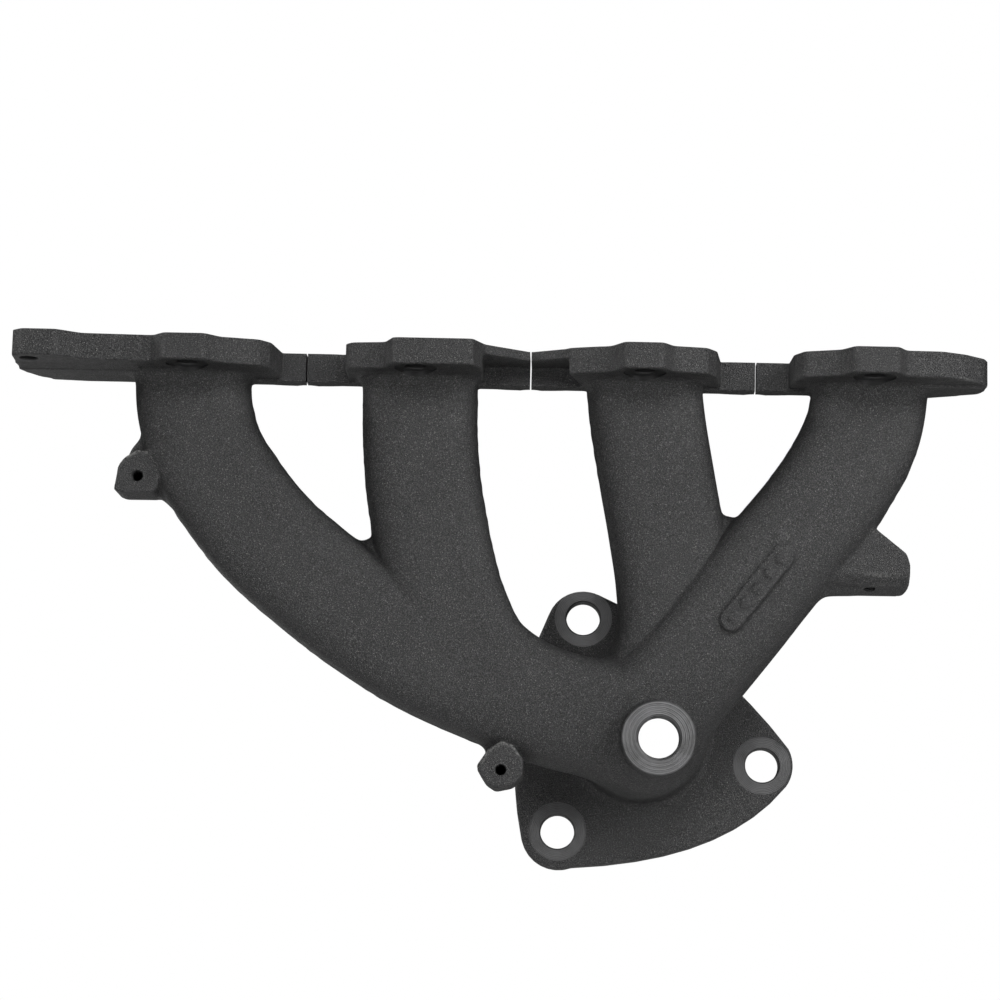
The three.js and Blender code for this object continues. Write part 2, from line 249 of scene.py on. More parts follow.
def set_back(g, i):
    """How far a runner's centre line leaves the middle plane: 3 passes behind 4 on its way down."""
    top, bottom, amount = SET_BACK[i]
    t = np.clip((top - g.Z) / (top - bottom), 0, 1)
    return amount * t * t * (3 - 2 * t)


def round_y(g, x, z, r, y0, y1, edge):
    return rim(np.hypot(g.X - x, g.Z - z) - r, between(g.Y, y0, y1), edge)


# ---- the runners ----
def apart(g, first, second):
    """1 in the crotch between two runners, and 0 where they lie over each other or run as one."""
    slope_a, slope_b = np.gradient(first[:, 0], g.pitch), np.gradient(second[:, 0], g.pitch)
    along = slope_a[0] * slope_b[0] + slope_a[1] * slope_b[1]
    missing = 1 - np.hypot(*slope_a) * np.hypot(*slope_b)
    amount = np.clip((1 - along - missing) / 1.2, 0, 1)
    amount *= np.clip((np.minimum(first, second)[:, 0] / HALF_WIDTH - 0.85) / 0.2, 0, 1)
    for _ in range(round(4 / g.pitch ** 2)):
        for axis in (0, 1):
            amount = (np.roll(amount, 1, axis) + 2 * amount + np.roll(amount, -1, axis)) / 4
    return g.flat(amount)


def runners(g, grow, fillet):
    """All four runners as one field, joined with a fillet that fades towards their fronts and backs."""
    body, nearest = tube(g, 0, grow), g.lines[0]
    middle = np.clip(1 - (g.Y / 11.0) ** 2, 0, 1)
    for i in (1, 2, 3):
        body = blend(body, tube(g, i, grow), fillet * apart(g, nearest, g.lines[i]) * middle + 0.8)
        nearest = np.minimum(nearest, g.lines[i])
    return body


def collector(g):
    """The drum that the runners run into, and its neck down to the outlet flange."""
    return round_y(g, OUTLET_X, OUTLET_Z, COLLECTOR_R, -15.0, OUTLET_FRONT + 6, 12.0)


def fall_away(g, body, inwards):
    """The collector's front bends back below and to the right of the sensor seat."""
    for normal, at, k in COLLECTOR_SLOPES:
        n = np.array(normal) / np.linalg.norm(normal)
        plane = (g.X - at[0]) * n[0] + (g.Y - at[1]) * n[1] + (g.Z - at[2]) * n[2] + inwards
        body = -blend(-body, -plane.astype(np.float32), k)
    return body


# ---- the head flange, drawn in plan ----
LOBE_OUTLINES = (
    ((-205, 4), (-212, -5), (-217.5, -18), (-216.5, -37), (-212, -41), (-198, -41), (-188, -34),
     (-158, -32.5), (-153, -38.5), (-136, -38.5), (-130, -32), (-114, -28), (-109.5, -22), (-106.5, -1),
     (-106.5, 4)),
    ((-78, 4), (-78, -22), (-75, -26), (-61, -28), (-57, -38), (-24, -38), (-20, -29), (-20, 4)),
    ((22, 4), (16, -23), (34, -29), (39.5, -38), (55.5, -38), (60, -31.5), (74, -29), (78.5, -22), (81, -1),
     (81, 4)),
    ((110, 4), (111, -18), (115, -26), (130, -31), (135, -38.5), (153, -38.5), (157, -31.5), (172, -31),
     (182, -26), (191, -18), (193.5, -11), (191, -3), (181, 1), (168, 4)),
)
LEFT_END = ((-217.5, -17), (-214.5, -9), (-210.5, -1), (-204, 4), (-180, 4.5), (-165, 7), (-165, -17))
LEFT_RAMP = ((-217.5, -24), (-214.5, -9), (-165, -9), (-165, -24))
RIGHT_END = ((165, 7), (168, 4), (181, 1), (190.5, -3.5), (192.5, -11), (190, -16), (165, -17))
BACK_RAIL = ((-206, -1), (-206, 4.5), (-190, 7), (170, 7), (182, 1), (182, -1))
PORT_PAD = ((-28, -1), (-24, 7), (-18, 15), (-8, 20.5), (8, 20.5), (18, 15), (24, 7), (28, -1), (20, -17),
            (-20, -17))
SLIT_PAD = ((-14, -1), (-14, 7), (0, 9), (14, 7), (14, -1))
LIP = ((-30, -34), (-19, -27), (0, -13.5), (20, -24), (30, -27), (30, 3), (-30, 3))


def shifted(points, dx):
    return [(x + dx, y) for x, y in points]


def head_flange(g):
    """Thinner lobes in front of the ports, a thicker plate behind them, and a thin lip in the middle."""
    def plate(outline, thickness, edge):
        return rim(outline, between(g.Z, -thickness, STOCK), edge)

    lobes = np.minimum.reduce([g.plan(points, 1.8) for points in LOBE_OUTLINES])
    backs = [g.plan(BACK_RAIL, 0.5), g.plan(LEFT_END, 2.0), g.plan(RIGHT_END, 2.0)]
    backs += [g.plan(shifted(PORT_PAD, x), 5.0) for x in PORTS]
    backs += [g.plan(shifted(SLIT_PAD, x), 3.0) for x in SLITS]
    back = backs[0]
    for other in backs[1:]:
        back = blend(back, other, 2.0)
    body = blend(plate(lobes, LOBE_T, 0.9), plate(back, BAR_T, 0.8), 1.0)
    slope = (-g.Z - LOBE_T) - (g.Y + 24.0) * (BAR_T - LOBE_T) / 10.0
    body = blend(body, rim(plate(g.plan(LEFT_RAMP, 1.5), BAR_T, 0.8), slope.astype(np.float32), 0.4), 0.6)
    return blend(body, plate(g.plan(LIP, 1.5), LIP_T, 0.8), 2.4)


# ---- the outlet flange: three lobes joined by bowed edges ----
def arc(x, z, r, start, end, count=9):
    angles = np.linspace(start, end, count)
    return [(x + r * math.cos(a), z + r * math.sin(a)) for a in angles]


def bow(start, control, end, count=9):
    ts = np.linspace(0, 1, count + 1)[1:-1]
    a, b, c = (np.array(p, float) for p in (start, control, end))
    return [tuple((1 - t) ** 2 * a + 2 * t * (1 - t) * b + t * t * c) for t in ts]


def outlet_flange(g):
    top = arc(24.7, -110.3, 16, 2.8, 1.17)
    right = arc(101, -168.5, 15.5, 0.5, -0.6)
    low_lobe = arc(15.8, -199, 16.2, -1.2, -2.9)
    points = top + bow(top[-1], (79, -116), right[0]) + right + bow(right[-1], (88, -210), low_lobe[0])
    points += low_lobe + bow(low_lobe[-1], (-11, -150), top[0])
    return rim(g.elevation(points, 0), between(g.Y, OUTLET_FRONT, OUTLET_FACE + STOCK), 1.2)


# ---- lugs, drawn in X and Z ----
LEFT_LUG = ((-174.8, -62.6), (-173.3, -52), (-170.8, -48.6), (-165.4, -45.2), (-161, -45.8),
            (-158.6, -48.5), (-156.4, -54), (-155.8, -60.7), (-158.4, -63.6), (-171.5, -63.8))
LEFT_WEB = ((-165.5, -38), (-169.9, -42.5), (-172.3, -50), (-171, -62.3), (-157, -63), (-151, -66),
            (-135, -60), (-140, -36))
LOWER_LUG = ((-18.8, -175.6), (-16.6, -179.4), (-14.6, -182.4), (-10.7, -184.9), (-3.8, -183.4),
             (0.8, -179.4), (0.9, -172.4), (-3.4, -166.4), (-8.4, -164.8), (-13.6, -167.8))
LOWER_WEB = ((-14.5, -180), (-15.5, -150), (4, -158), (-2, -179))
BRACKET = ((145, -70), (159.9, -81.9), (161.4, -86.5), (161.2, -96), (159, -98.4), (127.5, -99), (124, -92),
           (129, -84), (142, -74))
BRACKET_WEB = ((145, -71), (150, -80), (140, -98), (120, -99), (110, -80), (130, -60))
BRACKET_BOTTOM, BRACKET_TILT = -98.8, math.radians(15)     # its underside looks this far forwards
BEVEL_Z, BEVEL_TILT = -91.5, math.radians(50)             # where its lower bevel leaves the front
LUG_BACK, BRACKET_FRONT = 8.0, -8.0
LUG_FRONT = cad_low("shield_boss_left").y
SHIELD_HOLES = ((-165.0, -56.5), (-8.5, -177.0))
BRACKET_HOLE = (145.0, -0.6)                 # x and y: it runs upwards


def lug(g, points, front, edge):
    return rim(g.elevation(points, 0.8), between(g.Y, front, LUG_BACK), edge)


def web(g, points):
    """The thinner iron behind a lug's face, which carries it on the runner."""
    return rim(g.elevation(points, 3.0), between(g.Y, -2.0, LUG_BACK), 2.0)


def below(g, y, z, tilt):
    """How far a point lies under a plane that runs along X through y and z, tilted to face forwards."""
    return -(g.Y - y) * math.sin(tilt) - (g.Z - z) * math.cos(tilt)


def lugs(g, body):
    """Adds the two heat shield lugs, and the bracket with its bevelled shoulder and tilted underside."""
    for face, behind in ((LEFT_LUG, LEFT_WEB), (LOWER_LUG, LOWER_WEB)):
        body = blend(blend(body, web(g, behind), 4.0), lug(g, face, LUG_FRONT, 0.6), 1.4)
    bracket = lug(g, BRACKET, BRACKET_FRONT, 1.0)
    bracket = rim(bracket, below(g, LUG_BACK, BRACKET_BOTTOM, BRACKET_TILT), 0.8)
    bracket = rim(bracket, below(g, BRACKET_FRONT, BEVEL_Z, BEVEL_TILT), 0.8)
    shoulder = ((g.X - 152.0) * 0.62 + (g.Z + 75.0) * 0.78 - (g.Y - BRACKET_FRONT)) * 0.707
    bracket = rim(bracket, shoulder.astype(np.float32), 0.8)
    return blend(blend(body, web(g, BRACKET_WEB), 4.0), bracket, 2.0)


def casting_mark(g):
    """A blank raised pad with a row of pips on the front of runner 4."""
    c, s = math.cos(MARK_ANGLE), math.sin(MARK_ANGLE)
    along = (g.X - MARK_X) * c + (g.Z - MARK_Z) * s
    across = (g.Z - MARK_Z) * c - (g.X - MARK_X) * s
    pad = np.hypot(np.maximum(np.abs(along) - MARK_HALF, 0), across) - MARK_R
    body = rim(tube(g, 3, PAD_HEIGHT), pad, 0.8)
    higher = tube(g, 3, PIP_HEIGHT)
    for k in (-2, -1, 0, 1, 2):
        body = blend(body, rim(higher, np.hypot(along - k * PIP_PITCH, across) - PIP_R, 0.8), 1.0)
    return np.maximum(body, g.Y)


# ---- the whole casting ----
def ripple(g):
    """The slight waviness of a sand mould, and the trace of the joint between its halves."""
    wave = np.sin(g.X / 9.1 + 1.3 * np.sin(g.Z / 17.0)) * np.sin(g.Z / 7.3 + g.Y / 8.0 + np.sin(g.X / 23.0))
    slow = np.sin(g.X / 31.0 + g.Y / 13.0 + 2.0) * np.sin(g.Z / 27.0 - g.Y / 11.0)
    joint = np.exp(-((g.Y + 0.5 * np.sin(g.X / 19.0)) / 1.4) ** 2)
    lumps = 0.5 + 0.5 * np.sin(g.X / 2.9 + 2 * np.sin(g.Z / 3.1)) * np.sin(g.Z / 2.3 + np.sin(g.X / 4.1))
    return 0.05 * wave + 0.10 * slow, 0.4 * joint * lumps


def casting_field(g):
    """The whole casting inside a grid, and its gas passages alone."""
    wave, joint = ripple(g)
    body = blend(runners(g, 0.0, CROTCH_FILLET) - joint, collector(g), 8.0)
    body = fall_away(g, body, 0.0)
    body = blend(body, round_y(g, OUTLET_X, OUTLET_Z, COLLECTOR_R - 1, 8, OUTLET_FRONT + 6, 8.0), 6.0)
    body = blend(body, outlet_flange(g), 6.0)
    body = lugs(g, body)
    body = blend(body, round_y(g, SENSOR_X, SENSOR_Z, SENSOR_R, SENSOR_FACE - STOCK, 0, 1.5), 4.0)
    body = blend(body, casting_mark(g), 1.6) + wave
    under_lobes = np.clip((-2.0 - g.Y) / 8.0, 0, 1).astype(np.float32)
    body = blend(body, head_flange(g), EDGE_BLEND + LOBE_FILLET * under_lobes)
    body = rim(body, g.Z - STOCK, 1.0)
    hollow = runners(g, -WALL, PASSAGE_FILLET)
    hollow = blend(hollow, round_y(g, OUTLET_X, OUTLET_Z, BORE_R, -11.0, 70, 12.0), 6.0)
    hollow = fall_away(g, hollow, WALL)
    hollow = blend(hollow, round_y(g, OUTLET_X, OUTLET_Z, BORE_R, 14, 70, 6.0), 4.0)
    edge = 1.5 * g.pitch
    ends = [between(axis, a + edge, b - edge) for axis, a, b in zip((g.X, g.Y, g.Z), g.low, g.high)]
    field = np.maximum.reduce([np.maximum(body, -hollow), *np.broadcast_arrays(*ends)])
    return field.astype(np.float32), hollow.astype(np.float32)


# ---- from the field to a mesh ----
def surface_net(field):
    """A closed quad mesh on the field's zero surface: one vertex in each cell that the surface crosses."""
    inside = field < 0
    corners = [(i, j, k) for i in (0, 1) for j in (0, 1) for k in (0, 1)]
    size = np.array(field.shape) - 1

    def part(a, c):
        return a[c[0]:c[0] + size[0], c[1]:c[1] + size[1], c[2]:c[2] + size[2]]

    count = sum(part(inside, c).astype(np.int8) for c in corners)
    cells = np.argwhere((count > 0) & (count < 8))
    number = np.full(size, -1, np.int32)
    number[tuple(cells.T)] = np.arange(len(cells))
    total, crossings = np.zeros((len(cells), 3)), np.zeros(len(cells))
    for c in corners:
        for axis in range(3):
            if c[axis]:
                continue
            d = list(c)
            d[axis] = 1
            va, vb = field[tuple((cells + c).T)], field[tuple((cells + d).T)]
            hit = (va < 0) != (vb < 0)
            point = np.tile(np.array(c, float), (len(cells), 1))
            point[:, axis] = va / np.where(hit, va - vb, 1)
            total[hit] += point[hit]
            crossings[hit] += 1
    points = cells + total / crossings[:, None]
    quads = []
    for axis in range(3):
        a, b = (axis + 1) % 3, (axis + 2) % 3
        ahead = np.roll(inside, -1, axis)
        edge = inside != ahead
        for k in range(3):
            ends = [slice(None)] * 3
            ends[k] = slice(-1, None)
            edge[tuple(ends)] = False
            if k != axis:
                ends[k] = slice(0, 1)
                edge[tuple(ends)] = False
        at = np.argwhere(edge)
        ring = [at.copy() for _ in range(4)]
        for n, (da, db) in enumerate(((1, 1), (0, 1), (0, 0), (1, 0))):
            ring[n][:, a] -= da
            ring[n][:, b] -= db
        face = np.stack([number[tuple(r.T)] for r in ring], 1)
        outwards = inside[tuple(at.T)]
        quads.append(np.where(outwards[:, None], face, face[:, ::-1]))
    return points, np.concatenate(quads)


def sample(field, points, pitch):
    """The field and its slope at points given in grid cells."""
    base = np.clip(np.floor(points).astype(int), 0, np.array(field.shape) - 2)
    f = points - base
    value, slope = np.zeros(len(points)), np.zeros((len(points), 3))
    for c in ((i, j, k) for i in (0, 1) for j in (0, 1) for k in (0, 1)):
        weights = np.where(c, f, 1 - f)
        corner = field[tuple((base + c).T)]
        value += corner * weights.prod(1)
        for axis in range(3):
            others = [k for k in range(3) if k != axis]
            slope[:, axis] += corner * (1 if c[axis] else -1) * weights[:, others].prod(1)
    return value, slope / pitch


def settle(field, points, pitch, rounds=3):
    """Moves each vertex onto the zero surface."""
    for _ in range(rounds):
        value, slope = sample(field, points, pitch)
        step = slope * (value / np.maximum((slope ** 2).sum(1), 0.05))[:, None] / pitch
        points = points - np.clip(step, -0.4, 0.4)
    return points


# ---- finishes ----
class Finish:
    """A material being built from nodes."""

    def __init__(self, name, roughness, metallic):
        self.material = bpy.data.materials.new(name)
        self.material.use_nodes = True
        self.nodes, self.links = self.material.node_tree.nodes, self.material.node_tree.links
        self.shader = self.nodes["Principled BSDF"]
        self.set("Roughness", roughness)
        self.set("Metallic", metallic)
        self.place = self.add("ShaderNodeTexCoord").outputs["Object"]

    def add(self, kind, **values):
        node = self.nodes.new(kind)
        for name, value in values.items():
            setattr(node, name, value)
        return node

    def wire(self, source, target):
        if isinstance(source, (int, float, tuple)):
            target.default_value = source
        else:
            self.links.new(source, target)

    def set(self, socket, source):
        self.wire(source, self.shader.inputs[socket])

    def noise(self, per_metre, detail=2.0, rough=0.5, vector=None):
        node = self.add("ShaderNodeTexNoise")
        self.wire(vector or self.place, node.inputs["Vector"])
        self.wire(per_metre, node.inputs["Scale"])
        self.wire(detail, node.inputs["Detail"])
        self.wire(rough, node.inputs["Roughness"])
        return node.outputs["Fac"]

    def math(self, operation, a, b=0.0, clamp=False):
        node = self.add("ShaderNodeMath", operation=operation, use_clamp=clamp)
        self.wire(a, node.inputs[0])
        self.wire(b, node.inputs[1])
        return node.outputs[0]

    def remap(self, source, lo, hi, to_lo=0.0, to_hi=1.0):
        node = self.add("ShaderNodeMapRange")
        values = {"Value": source, "From Min": lo, "From Max": hi, "To Min": to_lo, "To Max": to_hi}
        for socket, value in values.items():
            self.wire(value, node.inputs[socket])
        return node.outputs["Result"]

    def mix(self, amount, a, b):
        node = self.add("ShaderNodeMix", data_type="RGBA")
        self.wire(amount, node.inputs["Factor"])
        self.wire(a, node.inputs["A"] if not isinstance(a, tuple) else node.inputs[6])
        self.wire(b, node.inputs["B"] if not isinstance(b, tuple) else node.inputs[7])
        return node.outputs[2]

    def stored(self, name):
        return self.add("ShaderNodeAttribute", attribute_name=name).outputs["Fac"]

    def bumps(self, *layers):
        """Each layer is a height source and its depth in metres."""
        normal = None
        for height, depth in layers:
            node = self.add("ShaderNodeBump")
            self.wire(height, node.inputs["Height"])
            self.wire(depth, node.inputs["Distance"])
            if normal:
                self.wire(normal, node.inputs["Normal"])
            normal = node.outputs["Normal"]
        self.set("Normal", normal)


def cast_iron():
    """Shot-blasted grey iron with a thin dark coat: fine pale grit, soft blotches, rubbed edges, and painted
    shade that darkens the fillets and creases.
    """
    f = Finish("cast_iron", 0.62, 0.0)
    speckle = f.noise(2000, 2.0, 0.6)
    glint = f.noise(2600, 1.0, 0.5)
    pits = f.noise(420, 3.0, 0.6)
    blotch = f.noise(38, 4.0, 0.6)
    patch = f.noise(9, 2.0, 0.5)
    rubbed = f.math("MULTIPLY", f.stored("edge"), f.remap(f.noise(330, 4.0, 0.7), 0.45, 0.68))
    tone = f.mix(f.remap(blotch, 0.3, 0.7), (0.027, 0.027, 0.028, 1), (0.034, 0.034, 0.035, 1))
    tone = f.mix(f.remap(patch, 0.35, 0.65, 0.0, 0.3), tone, (0.039, 0.039, 0.040, 1))
    tone = f.mix(f.remap(speckle, 0.50, 0.32, 0.0, 1.0), tone, (0.008, 0.008, 0.008, 1))
    tone = f.mix(f.remap(speckle, 0.52, 0.72, 0.0, 0.95), tone, (0.115, 0.115, 0.116, 1))
    tone = f.mix(f.remap(glint, 0.63, 0.75, 0.0, 0.9), tone, (0.30, 0.295, 0.28, 1))
    tone = f.mix(f.math("MULTIPLY", rubbed, 0.3, True), tone, (0.12, 0.12, 0.122, 1))
    chipped = f.math("MULTIPLY", f.stored("worn"), f.remap(f.noise(700, 4.0, 0.7), 0.42, 0.55))
    tone = f.mix(f.math("MULTIPLY", chipped, 0.8, True), tone, (0.30, 0.30, 0.29, 1))
    # painted shade: the hollow mask darkens concave fillets, creases and corners, standing in for the shade
    # that falls in them
    tone = f.mix(f.math("MULTIPLY", f.stored("hollow"), 0.22, True), tone, (0.012, 0.012, 0.012, 1))
    tone = f.mix(f.math("MULTIPLY", f.stored("bore"), 0.9, True), tone, (0.022, 0.019, 0.018, 1))
    f.set("Base Color", tone)
    f.set("Roughness", f.remap(f.noise(300, 3.0), 0.3, 0.7, 0.34, 0.46))
    f.bumps((pits, 0.0002), (speckle, 0.0005), (glint, 0.0003))
    return f.material


def turned(name, centre, flat_axis, pitch, bright):
    """A face cut with a turning tool: rings about `centre`, in the plane across `flat_axis`."""
    f = Finish(name, 0.42, 0.75)
    keep = f.add("ShaderNodeVectorMath", operation="MULTIPLY_ADD")
    f.wire(f.place, keep.inputs[0])
    mask = [0.0 if axis == flat_axis else 1.0 for axis in "XYZ"]
    keep.inputs[1].default_value = mask
    keep.inputs[2].default_value = [-c * m * MM for c, m in zip(centre, mask)]
    radius = f.add("ShaderNodeVectorMath", operation="LENGTH")
    f.wire(keep.outputs[0], radius.inputs[0])
    wobble = f.math("MULTIPLY", f.noise(70, 2.0), 0.0004)
    turns = f.math("MULTIPLY", f.math("ADD", radius.outputs["Value"], wobble), 2 * math.pi / (pitch * MM))
    ring = f.math("SINE", turns)
    fine = f.noise(2600, 2.0)
    stain = f.noise(150, 4.0, 0.6)
    dark = tuple(bright * 0.62 for _ in range(3)) + (1,)
    tone = f.mix(f.remap(stain, 0.3, 0.7), dark, (bright, bright, bright * 1.02, 1))
    tone = f.mix(f.remap(ring, -1, 1, 0.0, 0.2), tone, (bright * 1.5, bright * 1.5, bright * 1.52, 1))
    f.set("Base Color", tone)
    f.set("Roughness", f.remap(stain, 0.3, 0.7, 0.38, 0.55))
    f.bumps((ring, 0.00003), (fine, 0.00003))
    return f.material


def milled(name, along, bright):
    """A flat face cut with a mill: fine lines across `along`, with a few deeper ones."""
    f = Finish(name, 0.4, 0.8)
    stretch = f.add("ShaderNodeMapping", vector_type="POINT")
    f.wire(f.place, stretch.inputs["Vector"])
    stretch.inputs["Scale"].default_value = [1.0 if axis == along else 0.03 for axis in "XYZ"]
    lines = f.noise(1700, 3.0, 0.7, stretch.outputs["Vector"])
    broad = f.noise(160, 3.0, 0.6, stretch.outputs["Vector"])
    stain = f.noise(45, 4.0, 0.6)
    tone = f.mix(f.remap(stain, 0.3, 0.7), (bright * 0.6,) * 3 + (1,), (bright,) * 3 + (1,))
    tone = f.mix(f.remap(lines, 0.4, 0.75, 0.0, 0.6), tone, (bright * 1.6,) * 3 + (1,))
    f.set("Base Color", tone)
    f.set("Roughness", f.remap(broad, 0.3, 0.7, 0.32, 0.5))
    f.bumps((lines, 0.00004), (broad, 0.00004))
    return f.material


# ---- solids for cutting: made in millimetres, as named meshes in metres ----
def body(name, points, faces, material=None):
    mesh = bpy.data.meshes.new(name)
    mesh.from_pydata(np.array(points, float) * MM, [], faces)
    if material:
        mesh.materials.append(material)
    mesh.update()
    made = bpy.data.objects.new(name, mesh)
    bpy.context.collection.objects.link(made)
    return made


def rings(name, loops, material=None):
    """A closed solid from loops of the same number of points, capped at both ends."""
    n = len(loops[0])
    points = [p for loop in loops for p in loop]
    faces = [tuple(range(n))[::-1], tuple(range(len(points) - n, len(points)))]
    for k in range(len(loops) - 1):
        for i in range(n):
            j = (i + 1) % n
            faces.append((k * n + i, k * n + j, (k + 1) * n + j, (k + 1) * n + i))
    made = body(name, points, faces, material)
    if signed_volume(made.data) < 0:
        made.data.flip_normals()
    return made


def signed_volume(mesh):
    mesh.calc_loop_triangles()
    co = np.array([v.co for v in mesh.vertices])
    tri = np.array([t.vertices for t in mesh.loop_triangles])
    a, b, c = co[tri[:, 0]], co[tri[:, 1]], co[tri[:, 2]]
    return (a * np.cross(b, c)).sum() / 6


def around(axis, at, r, along, angle):
    """A point at `angle` round an axis that runs through `at`, `along` millimetres from the origin."""
    c, s = r * math.cos(angle), r * math.sin(angle)
    if axis == "Y":
        return (at[0] + c, along, at[1] + s)
    return (at[0] + c, at[1] + s, along)


AXIS_R = 0.01                                # a lathe's profile stops this far from its axis


def lathe(name, axis, at, profile, material=None, segments=72):
    """A solid of revolution. The profile is pairs of radius and place along the axis."""
    angles = [2 * math.pi * i / segments for i in range(segments)]
    return rings(name, [[around(axis, at, r, along, a) for a in angles] for r, along in profile], material)


def thread(name, axis, at, r, depth, pitch, start, end, material, segments=40):
    """A screw thread's own helical form, deeper than the plain hole that it is cut into."""
    steps = 6
    places = np.arange(start, end, pitch / steps)
    angles = [2 * math.pi * i / segments for i in range(segments)]
    loops = []
    for k, along in enumerate(places):
        fade = min(1.0, k / steps, (len(places) - 1 - k) / steps)
        radii = [r + depth * fade * (abs(((along / pitch - a / (2 * math.pi)) % 1) * 2 - 1) - 0.1)
                 for a in angles]
        loops.append([around(axis, at, radius, along, a) for radius, a in zip(radii, angles)])
    return rings(name, loops, material)


def prism(name, points, y0, y1, material=None):
    """An outline in X and Z, from y0 to y1."""
    return rings(name, [[(x, y, z) for x, z in points] for y in (y0, y1)], material)


def together(name, parts):
    """Several separate solids as one mesh, each with its own material."""
    points, faces, slots, materials = [], [], [], []
    for part in parts:
        start = len(points)
        points += [tuple(v.co / MM) for v in part.data.vertices]
        faces += [tuple(start + i for i in p.vertices) for p in part.data.polygons]
        slots += [len(materials)] * len(part.data.polygons)
        materials += list(part.data.materials)
        discard(part)
    made = body(name, points, faces)
    for material in materials:
        made.data.materials.append(material)
    made.data.polygons.foreach_set("material_index", slots)
    return made


def discard(thing):
    mesh = thing.data
    bpy.data.objects.remove(thing)
    bpy.data.meshes.remove(mesh)


def combined(target, operation, tool):
    """A new mesh: the target cut by the tool, or what both share."""
    step = target.modifiers.new("step", "BOOLEAN")
    step.operation, step.object, step.solver, step.material_mode = operation, tool, "MANIFOLD", "TRANSFER"
    shown = target.evaluated_get(bpy.context.evaluated_depsgraph_get())
    mesh = bpy.data.meshes.new_from_object(shown)
    target.modifiers.clear()
    return mesh


def cut(target, tool):
    old = target.data
    target.data = combined(target, "DIFFERENCE", tool)
    bpy.data.meshes.remove(old)
    discard(tool)


# ---- machining ----
# Grinder strokes on the front of the outlet flange: x, z, half length and angle of each.
FETTLING = ((98, -146.5, 4.5, 0.50), (100.5, -149, 3.5, 0.45), (96.5, -150.8, 4.0, 0.55),
            (93.5, -153.5, 2.6, 0.5), (85, -174.2, 4.5, 0.62), (83.5, -177.6, 3.6, -0.6),
            (86.5, -178.6, 3.0, -0.55), (89.8, -179.4, 2.2, -0.6), (63, -186.9, 4.5, 0.05),
            (19.5, -184.6, 6.0, -0.25), (2.2, -187.0, 2.6, 0.1))


def scrape(x, z, length, angle, material):
    """One stroke of a grinder on the front of the outlet flange: a shallow pointed scoop."""
    c, s = math.cos(angle), math.sin(angle)
    loops = []
    angles = np.linspace(0, 2 * math.pi, 17)[:-1]
    for y, wide in ((OUTLET_FRONT - 3, 1.0), (OUTLET_FRONT + 0.22, 0.5)):
        outline = [(length * wide * math.cos(a), 0.8 * wide * math.sin(a)) for a in angles]
        loops.append([(x + u * c - v * s, y, z + u * s + v * c) for u, v in outline])
    return rings("stroke", loops, material)


def box(x0, x1, z0, z1):
    return [(x0, z0), (x1, z0), (x1, z1), (x0, z1)]


def mating_faces(sensor_finish):
    """What is cut off the two mating faces, and the turned seat round the sensor's hole."""
    face = SENSOR_FACE
    seat = [(AXIS_R, face - 8), (SENSOR_R + 2, face - 8), (SENSOR_R + 2, face + 1.0),
            (SENSOR_R + 0.3, face + 1.0), (SENSOR_R - 0.6, face)]
    for r in (14.2, 12.6, 11.0):
        seat += [(r, face), (r - 0.15, face + 0.16), (r - 0.55, face + 0.16), (r - 0.7, face)]
    seat += [(9.6, face), (THREAD_R, face + 1.2), (THREAD_R, face + 7), (10.2, face + 8), (10.2, 16.0),
             (AXIS_R, 16.0)]
    yield prism("head_face", box(-260, 260, 0, 20), -60, 60, milled("milled_head", "X", 0.2))
    yield prism("outlet_face", box(-60, 160, -240, -60), OUTLET_FACE, 80, milled("milled_outlet", "X", 0.17))
    yield lathe("seat", "Y", (SENSOR_X, SENSOR_Z), seat, sensor_finish)


def drills(drilled):
    """Every hole, notch and spotface, and the grinder's strokes."""
    floor = -LOBE_T + SPOT_DEPTH
    bolt = [(AXIS_R, -40), (HEAD_SPOT_R, -40), (HEAD_SPOT_R, floor), (HEAD_BOLT_R + 0.5, floor),
            (HEAD_BOLT_R, floor + 0.5), (HEAD_BOLT_R, -0.5), (HEAD_BOLT_R + 1.5, 1), (AXIS_R, 1)]
    for i, x in enumerate(PORTS):
        finish = turned("turned_head_seat_%d" % (i + 1), (x, HEAD_BOLT_Y, 0), "Z", 0.6, 0.075)
        yield lathe("bolt", "Z", (x, HEAD_BOLT_Y), bolt, finish)
    floor = OUTLET_FRONT + SPOT_DEPTH
    hole = [(AXIS_R, 23), (OUTLET_SPOT_R, 23), (OUTLET_SPOT_R, floor), (OUTLET_HOLE_R + 0.5, floor),
            (OUTLET_HOLE_R, floor + 0.5), (OUTLET_HOLE_R, OUTLET_FACE - 0.5),
            (OUTLET_HOLE_R + 1.5, OUTLET_FACE + 1), (AXIS_R, OUTLET_FACE + 1)]
    for i, (x, z) in enumerate(OUTLET_HOLES):
        finish = turned("turned_outlet_seat_%d" % (i + 1), (x, 0, z), "Y", 0.7, 0.14)
        yield lathe("hole", "Y", (x, z), hole, finish)
    x, y, r = CORNER_HOLE
    corner = [(AXIS_R, -20), (r + 9, -20), (r, -LOBE_T + 0.4), (r, 1), (AXIS_R, 1)]
    yield lathe("corner", "Z", (x, y), corner, drilled, 32)
    notch = [(AXIS_R, -20), (NOTCH_R, -20), (NOTCH_R, 1), (AXIS_R, 1)]
    for x in SLITS:
        yield lathe("notch", "Z", (x, NOTCH_Y), notch, drilled)
    tapping = [(AXIS_R, LUG_FRONT - 4), (6.5, LUG_FRONT - 4), (TAP_R, LUG_FRONT + 0.4), (TAP_R, 4),
               (AXIS_R, 5.4)]
    for at in SHIELD_HOLES:
        yield lathe("tapping", "Y", at, tapping, drilled, 32)
    r = BRACKET_TAP_R
    upwards = [(AXIS_R, -104), (r, -104), (r, -98.2), (r, -86), (AXIS_R, -84.6)]
    yield lathe("tapping", "Z", BRACKET_HOLE, upwards, drilled, 32)
    fettled = milled("fettled", "X", 0.09)
    for x, z, length, angle in FETTLING:
        yield scrape(x, z, length, angle, fettled)


